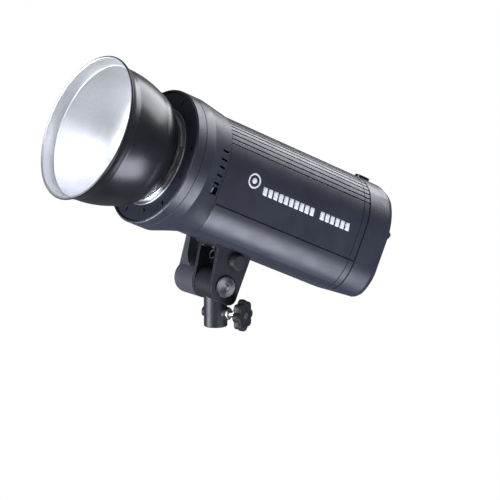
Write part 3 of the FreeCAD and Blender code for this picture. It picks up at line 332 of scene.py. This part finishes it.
def glass(name, colour, roughness):
    """Clear or frosted glass with slight haze and ripple."""
    made = Shader(name, colour, roughness, Transmission_Weight=1.0, IOR=1.46)
    haze = made.noise(90.0, 4.0)
    made.rough(haze, 0.3, 0.7, roughness, roughness + 0.06)
    made.bump(made.noise(500.0, 2.0), 0.004 * MM, 0.4)
    return made


def lcd_back(name):
    """Reflective green backing of the display."""
    made = Shader(name, (0.36, 0.56, 0.47), 0.35)
    made.clouded(made.noise(60.0, 2.0), 0.3, 0.7, (0.33, 0.52, 0.43), (0.4, 0.6, 0.51))
    made.bump(made.noise(2500.0, 1.0), 0.004 * MM)
    return made


def silver_lining(name):
    """Anodised bright inside of the reflector."""
    made = Shader(name, (0.83, 0.835, 0.85), 0.4, metallic=1.0)
    made.clouded(made.noise(700.0, 3.0), 0.3, 0.7, (0.76, 0.765, 0.785), (0.88, 0.885, 0.9))
    made.rough(made.noise(240.0, 3.0), 0.3, 0.7, 0.4, 0.47)
    made.bump(made.noise(1500.0, 2.0), 0.002 * MM, 0.3)
    return made


def ink(name, colour, roughness=0.5, **sockets):
    """Printed ink, or a thin near-black strip of painted seam shade, slightly broken up by the
    texture under it.
    """
    made = Shader(name, colour, roughness, **sockets)
    specks = made.noise(1800.0, 3.0)
    made.clouded(specks, 0.35, 0.6, shade(colour, 0.8), shade(colour, 1.15))
    made.bump(specks, 0.01 * MM, 0.5)
    return made


# --------------------------------------------------------------------------- mesh makers


def new_object(name, data):
    """An object in the scene's collection."""
    made = bpy.data.objects.new(name, data)
    SCENE.collection.objects.link(made)
    return made


def piece(name, bm, place, body, materials, smooth_angle, nodes=()):
    """Turns a bmesh made in a local frame into a piece that rides on a body."""
    mesh = bpy.data.meshes.new(name)
    bmesh.ops.recalc_face_normals(bm, faces=bm.faces)
    bm.to_mesh(mesh)
    bm.free()
    for material in materials:
        mesh.materials.append(material)
    for polygon in mesh.polygons:
        polygon.use_smooth = True
    mesh.set_sharp_from_angle(angle=math.radians(smooth_angle))
    made = new_object(name, mesh)
    made.matrix_world = place
    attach(made, body)
    if nodes:
        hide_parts(*nodes)
    return made


def thicken(made, thickness):
    """Gives a print or a painted-shade seam strip a thickness, down into what it lies on."""
    made.modifiers.new("thickness", "SOLIDIFY").thickness = thickness


def arc(start, end, radius, steps):
    """Points of an arc after start and up to end; a positive radius turns left on the way."""
    start, end = Vector(start), Vector(end)
    chord = end - start
    half = chord.length / 2
    # a radius can't be less than half the chord
    size = max(abs(radius), half * 1.0001)
    side = math.copysign(1, radius)
    normal = Vector((-chord.y, chord.x)).normalized() * side
    centre = start + chord / 2 + normal * math.sqrt(size * size - half * half)
    first = math.atan2(start.y - centre.y, start.x - centre.x)
    sweep = 2 * math.asin(half / size) * side
    return [
        (centre.x + size * math.cos(first + sweep * k / steps),
         centre.y + size * math.sin(first + sweep * k / steps))
        for k in range(1, steps + 1)
    ]


def join_rings(bm, one, other):
    """Faces between two rings of vertices."""
    for k in range(len(one)):
        after = (k + 1) % len(one)
        bm.faces.new((one[k], one[after], other[after], other[k]))


def lathe(bm, profile, turns):
    """Turns a closed profile of (station, radius) round the local x axis."""
    rings = []
    for station, radius in profile:
        rings.append([
            bm.verts.new((station, radius * math.cos(a), radius * math.sin(a)))
            for a in (2 * math.pi * k / turns for k in range(turns))
        ])
    for one, other in zip(rings, rings[1:] + rings[:1]):
        join_rings(bm, one, other)
    return rings


# --------------------------------------------------------------------------- pieces

MATERIALS = make_materials()
SILVER = silver_lining("reflector_silver").material
WHITE_INK = ink("white_ink", (0.53, 0.54, 0.57)).material
# near-black matte strips for the body's seams: painted shade of the seam gaps
SEAM_SHADE_RUBBER = ink("seam_shade_rubber", (0.003, 0.003, 0.004), 0.9,
                  Specular_IOR_Level=0.08).material
SEGMENT_INK = ink("segment_ink", (0.03, 0.05, 0.045)).material
BOLT_STEEL = faced_steel("bolt_steel").material


def dress_cad_nodes():
    """Every CAD node gets the finish of its material slot."""
    for node in NODES.values():
        for slot in node.material_slots:
            slot.material = MATERIALS[slot.material.name.split(".")[0]]
    for slot in NODES["pivot_bolt"].material_slots:
        slot.material = BOLT_STEEL


def make_reflector():
    """Spun bowl: enamel outside, dimpled silver inside, rolled rim, one closed skin."""
    low, high = extent("reflector_bowl", LAMP)
    back, mouth, rim = low.x, high.x, high.y
    sheet = 1.2 * MM
    step = 1.2 * MM
    bead_radius = 1.5 * MM
    band_start = mouth - 16 * MM
    wide = rim - 6.4 * MM
    shoulder = (back + 31 * MM, rim - 14.2 * MM)
    waist = (back + 5 * MM, rim - 30.5 * MM)
    neck = (back, rim - 36.5 * MM)
    inner_edge = rim - 41 * MM
    bead = (mouth - bead_radius, rim - bead_radius)
    neck_bend, back_bend, flank_bend = 7 * MM, 45 * MM, 130 * MM
    dimple_rows, dimples_round = 46, 160
    cuts = 3  # mesh rows and columns per dimple
    front_share = 0.62  # of the rows, those in front of the shoulder
    dimple_depth = 0.09 * MM

    def on_bead(degrees):
        """A point of the rolled rim; 0 is the outermost, 90 the foremost."""
        a = math.radians(degrees)
        return bead[0] + bead_radius * math.sin(a), bead[1] + bead_radius * math.cos(a)

    outside = [(back, inner_edge), neck]
    outside += arc(neck, waist, -neck_bend, 6)
    outside += arc(waist, shoulder, -back_bend, 14)
    outside += arc(shoulder, (band_start - 0.6 * MM, wide), -flank_bend, 18)
    step_foot = (band_start - 0.4 * MM, wide + 0.2 * MM)
    step_top = (band_start + 0.6 * MM, wide + step)
    outside += arc(step_foot, step_top, step, 4)
    outside += [(band_start + 5 * MM, wide + step + 1.2 * MM), (mouth - 3.6 * MM, rim - 2.2 * MM)]
    outside += [on_bead(a) for a in range(-70, 80, 12)]
    lining = [on_bead(a) for a in range(80, 181, 12)]
    lip = (mouth - 4.5 * MM, rim - 3.6 * MM)
    lining += [lip, (mouth - 8 * MM, lip[1] - 0.8 * MM)]
    lining += [(band_start + sheet + 0.5 * MM, wide + step - sheet + 0.1 * MM)]
    lining += [(band_start + sheet, wide + step - sheet - 0.2 * MM)]
    lining += [(band_start + sheet, wide - sheet + 0.2 * MM)]
    first_dimpled = len(lining)
    inner_shoulder = (shoulder[0] + sheet / 2, shoulder[1] - sheet)
    inner_waist = (waist[0] + sheet, waist[1] - sheet)
    front_rows = int(dimple_rows * cuts * front_share)
    back_rows = dimple_rows * cuts - front_rows
    flank_start = (band_start + sheet - 0.4 * MM, wide - sheet)
    lining += arc(flank_start, inner_shoulder, flank_bend - sheet, front_rows)
    lining += arc(inner_shoulder, inner_waist, back_bend - sheet, back_rows)
    last_dimpled = len(lining)
    inner_neck = (neck[0] + sheet, neck[1] - sheet)
    lining += arc(inner_waist, inner_neck, neck_bend - sheet, 6)
    lining += [(back + sheet, inner_edge)]

    turns = dimples_round * cuts
    bm = bmesh.new()
    rings = lathe(bm, outside + lining, turns)
    bm.faces.ensure_lookup_table()
    for index, face in enumerate(bm.faces):
        face.material_index = 0 if index // turns < len(outside) else 1
    # hammered dimples: pushed into the sheet, every other row moved by half a dimple
    for row in range(first_dimpled, last_dimpled):
        along = (row - first_dimpled) / cuts
        stagger = 0.5 * (int(along) % 2)
        for k, vertex in enumerate(rings[len(outside) + row]):
            around = k / cuts + stagger
            height = abs(math.sin(math.pi * along) * math.sin(math.pi * around)) ** 0.7
            outward = Vector((0, vertex.co.y, vertex.co.z)).normalized()
            vertex.co += outward * dimple_depth * height
    piece("reflector_bowl_spun", bm, LAMP, "reflector",
          [MATERIALS["reflector"], SILVER], 50, ["reflector_bowl"])


def make_star_knob():
    """Moulded eight-lobed knob with a dished face."""
    place = turned_axes("stand_clamp_turn")
    low, high = extent("clamp_knob", place)
    radius = min(high.y, high.z)
    lobes, per_lobe = 8, 10
    turns = lobes * per_lobe
    length = high.x - low.x
    groove = 0.8  # radius in a finger groove, as a share of the knob's own
    flatness = 0.55  # of the lobes; less is flatter

    def rim(angle):
        """Radius over a lobe or a finger groove, as a share of the knob's own."""
        wave = 0.5 + 0.5 * math.cos(lobes * angle)
        return groove + (1 - groove) * wave ** flatness

    # share of the length, share of the radius, how far the lobes show
    profile = [
        (0.0, 0.42, 0.0), (0.0, 0.5, 0.1), (0.07, 0.62, 0.4), (0.12, 0.86, 1.0),
        (0.2, 0.97, 1.0), (0.3, 1.0, 1.0), (0.72, 1.0, 1.0), (0.86, 0.97, 1.0),
        (0.95, 0.9, 1.0), (0.985, 0.82, 0.9), (0.985, 0.72, 0.5), (0.93, 0.64, 0.1),
        (0.9, 0.5, 0.0), (0.9, 0.3, 0.0), (0.94, 0.22, 0.0), (1.0, 0.18, 0.0),
        (1.0, 0.1, 0.0),
    ]
    bm = bmesh.new()
    rings = []
    for share, size, lobed in profile:
        ring = []
        for k in range(turns):
            angle = 2 * math.pi * k / turns
            reach = radius * size * (1 - lobed * (1 - rim(angle)))
            point = (low.x + share * length, reach * math.cos(angle), reach * math.sin(angle))
            ring.append(bm.verts.new(point))
        rings.append(ring)
    for one, other in zip(rings, rings[1:]):
        join_rings(bm, one, other)
    bm.faces.new(rings[0])
    bm.faces.new(rings[-1])
    made = piece("star_knob_moulded", bm, place, "stand_clamp_knob",
                 [MATERIALS["knob_black"]], 60, ["clamp_knob"])
    smooth = made.modifiers.new("smooth", "SUBSURF")
    smooth.levels = smooth.render_levels = 1


class Skin:
    """The outside of one or more CAD nodes, on which prints and painted-shade seam strips are
    laid.
    """

    def __init__(self, place, *nodes):
        to_local = place.inverted()
        points, polygons = [], []
        for node in nodes:
            mesh = NODES[node].data
            first = len(points)
            points += [to_local @ vertex.co for vertex in mesh.vertices]
            polygons += [tuple(first + index for index in p.vertices) for p in mesh.polygons]
        self.tree = BVHTree.FromPolygons(points, polygons)

    def side(self, x, z, sign):
        """The point of the skin at a station and a height, on the left (1) or the right (-1)."""
        hit = self.tree.ray_cast(Vector((x, sign, z)), Vector((0, -sign, 0)))
        return hit[0]

    def around(self, x, angle):
        """The point of the skin at a station, in a direction about the optical axis."""
        outward = Vector((0, math.sin(angle), math.cos(angle)))
        hit = self.tree.ray_cast(Vector((x, 0, 0)) + outward, -outward)
        return hit[0] + outward * INK_LIFT

    def rear(self, y, z):
        """The point of the skin seen from behind the lamp."""
        hit = self.tree.ray_cast(Vector((-1, y, z)), Vector((1, 0, 0)))
        return hit[0]


def print_patch(bm, skin, sign, outline_rows):
    """A printed shape: rows of (x, z) points laid on the skin."""
    grid = []
    for row in outline_rows:
        points = []
        for x, z in row:
            on_skin = skin.side(x, z, sign)
            points.append(bm.verts.new(on_skin + Vector((0, sign * INK_LIFT, 0))))
        grid.append(points)
    for one, other in zip(grid, grid[1:]):
        for k in range(len(one) - 1):
            bm.faces.new((one[k], one[k + 1], other[k + 1], other[k]))


def make_side_prints():
    """A plain ring emblem and a row of bars, printed in white on both sides."""
    skin = Skin(LAMP, "upper_shell")
    low, high = extent("upper_shell", LAMP)
    seam = low.z
    emblem_x = high.x - 45 * MM
    emblem_z = seam + 44 * MM
    bar_height = 10 * MM
    bar_z = seam + 37 * MM
    bar_pitch = 8.6 * MM
    bar_width = 6.4 * MM
    slant = 1.6 * MM
    first_bar = emblem_x - 20 * MM
    bar_places, empty_place = 17, 10
    bars = [first_bar - bar_pitch * k for k in range(bar_places) if k != empty_place]
    # inner and outer radius of the emblem's ring and of the disc in it
    emblem = ((7.2 * MM, 9.4 * MM), (0.01 * MM, 3.6 * MM))
    emblem_steps, bar_steps = 40, 4
    for sign, side in ((1, "left"), (-1, "right")):
        bm = bmesh.new()
        for inner, outer in emblem:
            rows = []
            for k in range(emblem_steps + 1):
                angle = 2 * math.pi * k / emblem_steps
                rows.append([(emblem_x + r * math.cos(angle), emblem_z + r * math.sin(angle))
                             for r in (inner, (inner + outer) / 2, outer)])
            print_patch(bm, skin, sign, rows)
        for x in bars:
            rows = []
            for k in range(bar_steps + 1):
                from_middle = k / bar_steps - 0.5
                z = bar_z + bar_height * from_middle
                lean = slant * from_middle
                rows.append([(x + lean - bar_width / 2, z), (x + lean, z),
                             (x + lean + bar_width / 2, z)])
            print_patch(bm, skin, sign, rows)
        bmesh.ops.remove_doubles(bm, verts=bm.verts, dist=0.02 * MM)
        made = piece(f"side_print_{side}", bm, LAMP, "head", [WHITE_INK], 60)
        thicken(made, 0.1 * MM)


def make_seam_shade_strips():
    """Near-black rubber strips that show as dark lines in the body's seams: painted shade
    standing in for the shadow in the seam gaps.
    """
    low, high = extent("upper_shell", LAMP)
    seam = (low.z + extent("lower_shell", LAMP)[1].z) / 2
    shells = Skin(LAMP, "upper_shell", "lower_shell")
    side_half, ring_half = 0.75 * MM, 0.45 * MM
    side_steps, turns = 60, 143
    bm = bmesh.new()
    for sign in (1, -1):
        rows = []
        for k in range(side_steps + 1):
            x = low.x + 1 * MM + (high.x - low.x - 3 * MM) * k / side_steps
            rows.append([(x, seam - side_half), (x, seam + side_half)])
        print_patch(bm, shells, sign, rows)
    for station in (high.x - 0.6 * MM, low.x + 0.9 * MM):
        rings = [[bm.verts.new(shells.around(x, 2 * math.pi * k / turns)) for k in range(turns)]
                 for x in (station - ring_half, station + ring_half)]
        join_rings(bm, *rings)
    made = piece("body_seals", bm, LAMP, "head", [SEAM_SHADE_RUBBER], 40)
    thicken(made, 0.1 * MM)


def circle_path(radius, start=0, end=360, steps=20):
    """Points round an arc, as a path for a printed line."""
    angles = [math.radians(start + (end - start) * k / steps) for k in range(steps + 1)]
    return [(radius * math.sin(a), radius * math.cos(a)) for a in angles]


def print_line(bm, skin, centre, path, width, lift):
    """A printed line on a skin that faces the rear; path is in metres about the centre."""
    for (y0, z0), (y1, z1) in zip(path, path[1:]):
        along = Vector((0, y1 - y0, z1 - z0)).normalized()
        across = Vector((0, -along.z, along.y)) * width / 2
        ends = [Vector((0, centre[0] + y, centre[1] + z)) for y, z in ((y0, z0), (y1, z1))]
        corners = [ends[0] - across, ends[1] - across, ends[1] + across, ends[0] + across]
        bm.faces.new([bm.verts.new(skin.rear(c.y, c.z) - Vector((lift, 0, 0))) for c in corners])


def in_mm(points):
    """Points given in millimetres."""
    return [(y * MM, z * MM) for y, z in points]


def make_panel_prints():
    """Plain symbols beside the buttons and a bar graph on the display."""
    rays = [in_mm([(r * math.cos(a), r * math.sin(a)) for r in (0.9, 1.6)])
            for a in (math.radians(45 * k) for k in range(8))]
    symbols = {
        "test_button": [in_mm([(0.9, 1.6), (-0.3, 0.1), (0.4, -0.1), (-0.8, -1.6)])],
        "power_button": [circle_path(1.4 * MM, 40, 320), in_mm([(0, 0.3), (0, 1.8)])],
        "menu_button": [in_mm([(-1.5, z), (1.5, z)]) for z in (-1, 0, 1)],
        "sync_button": [circle_path(1.3 * MM), in_mm([(-0.4, 0), (0.4, 0)])],
        "lamp_button": [circle_path(0.6 * MM), *rays],
        "sound_button": [in_mm([(y, -0.5 - y / 3), (y, 0.5 + y / 3)]) for y in (-1.2, 0, 1.2)],
    }
    # a symbol sits above its button, or to the left of a tall one
    gap_above, gap_beside, tall = 2.6 * MM, 2.9 * MM, 9 * MM
    panel = Skin(LAMP, "control_panel")
    bm = bmesh.new()
    for node, paths in symbols.items():
        low, high = extent(node, LAMP)
        middle = ((low.y + high.y) / 2, high.z + gap_above)
        if high.z - low.z > tall:
            middle = (high.y + gap_beside, (low.z + high.z) / 2)
        for path in paths:
            print_line(bm, panel, middle, path, 0.35 * MM, 0.1 * MM)
    made = piece("panel_symbols", bm, LAMP, "head", [WHITE_INK], 60)
    thicken(made, 0.06 * MM)

    screen = Skin(LAMP, "lcd_module")
    low, high = extent("lcd_module", LAMP)
    y, z = (low.y + high.y) / 2, (low.z + high.z) / 2
    lift = 0.05 * MM
    bm = bmesh.new()
    for k in range(12):
        foot = (y + (15.4 - 2.8 * k) * MM, z - 9 * MM)
        print_line(bm, screen, foot, in_mm([(0, 0), (0, 2.4 + 0.75 * k)]), 1.9 * MM, lift)
    # a battery sign: its outline, its tip and three levels
    battery = (y + 12.5 * MM, z + 9.5 * MM)
    outline = [(-3, -1.5), (-3, 1.5), (3, 1.5), (3, -1.5), (-3, -1.5)]
    for path in (outline, [(-3.5, -0.6), (-3.5, 0.6)]):
        print_line(bm, screen, battery, in_mm(path), 0.4 * MM, lift)
    for level in (-1.7, 0, 1.7):
        print_line(bm, screen, battery, in_mm([(level, -0.9), (level, 0.9)]), 1.2 * MM, lift)
    made = piece("display_segments", bm, LAMP, "head", [SEGMENT_INK], 60)
    thicken(made, 0.03 * MM)


# --------------------------------------------------------------------------- stage


def camera_axes(azimuth, elevation):
    """Direction from the object to the camera, and the picture's right and up."""
    a, e = math.radians(azimuth), math.radians(elevation)
    back = Vector((math.sin(a) * math.cos(e), -math.cos(a) * math.cos(e), math.sin(e)))
    right = Vector((math.cos(a), math.sin(a), 0))
    return back, right, back.cross(right)


def make_camera():
    """The camera, fitted to the photo's view and placed about the tilt pivot."""
    azimuth, elevation = 145.8, 10.6
    distance, to_right, upward = 2.475, 0.043, 0.0423
    back, right, up = camera_axes(azimuth, elevation)
    data = bpy.data.cameras.new("camera")
    data.lens = 142.9
    data.sensor_width = 36
    camera = new_object("camera", data)
    camera.location = PIVOT + back * distance + right * to_right + up * upward
    camera.rotation_mode = "QUATERNION"
    camera.rotation_quaternion = (-back).to_track_quat("-Z", "Y")
    SCENE.camera = camera


def emission(name, colour, strength):
    """A material that only gives off light."""
    material = bpy.data.materials.new(name)
    material.use_nodes = True
    tree = material.node_tree
    tree.nodes.clear()
    light = tree.nodes.new("ShaderNodeEmission")
    light.inputs["Color"].default_value = (*colour, 1)
    light.inputs["Strength"].default_value = strength
    out = tree.nodes.new("ShaderNodeOutputMaterial")
    tree.links.new(light.outputs[0], out.inputs[0])
    return material


def make_floor():
    """A wide pale floor well below the lamp, which stands on nothing here."""
    height = -1.1
    bm = bmesh.new()
    bmesh.ops.create_circle(bm, cap_ends=True, segments=96, radius=30)
    mesh = bpy.data.meshes.new("floor")
    bm.to_mesh(mesh)
    bm.free()
    floor = new_object("floor", mesh)
    floor.location.z = height
    floor.visible_glossy = False
    mesh.materials.append(emission("floor_white", (1, 1, 1), 1.0))


def softbox(name, direction, distance, size, power, colour):
    """A rectangular area light that looks at the middle of the object."""
    data = bpy.data.lights.new(name, "AREA")
    data.shape = "RECTANGLE"
    data.size, data.size_y = size
    data.energy = power
    data.color = colour
    light = new_object(name, data)
    middle = (cad_low + cad_high) / 2
    direction = Vector(direction).normalized()
    light.location = middle + direction * distance
    light.rotation_mode = "QUATERNION"
    light.rotation_quaternion = direction.to_track_quat("Z", "Y")
    light.visible_camera = False


def make_light():
    """A dim sky and four softboxes."""
    world = bpy.data.worlds.new("studio")
    SCENE.world = world
    world.use_nodes = True
    background = world.node_tree.nodes["Background"]
    background.inputs["Color"].default_value = (0.9, 0.93, 1.0, 1)
    background.inputs["Strength"].default_value = 0.14
    softbox("top_rear_box", (-0.86, -0.06, 0.55), 2.2, (2.0, 1.4), 54, (0.93, 0.95, 1.0))
    softbox("low_left_box", (-0.12, 0.66, -0.66), 0.95, (0.7, 0.55), 12, (0.83, 0.85, 1.0))
    softbox("front_box", LIGHT + 0.3 * LEFT, 2.2, (1.6, 1.6), 31, (0.96, 0.98, 1.0))
    softbox("low_front_box", (0.95, -0.2, -0.27), 1.6, (0.9, 0.5), 48, (0.9, 0.93, 1.0))
    SCENE.view_settings.view_transform = "Standard"


dress_cad_nodes()
make_reflector()
make_star_knob()
make_side_prints()
make_panel_prints()
make_seam_shade_strips()
make_camera()
make_floor()
make_light()
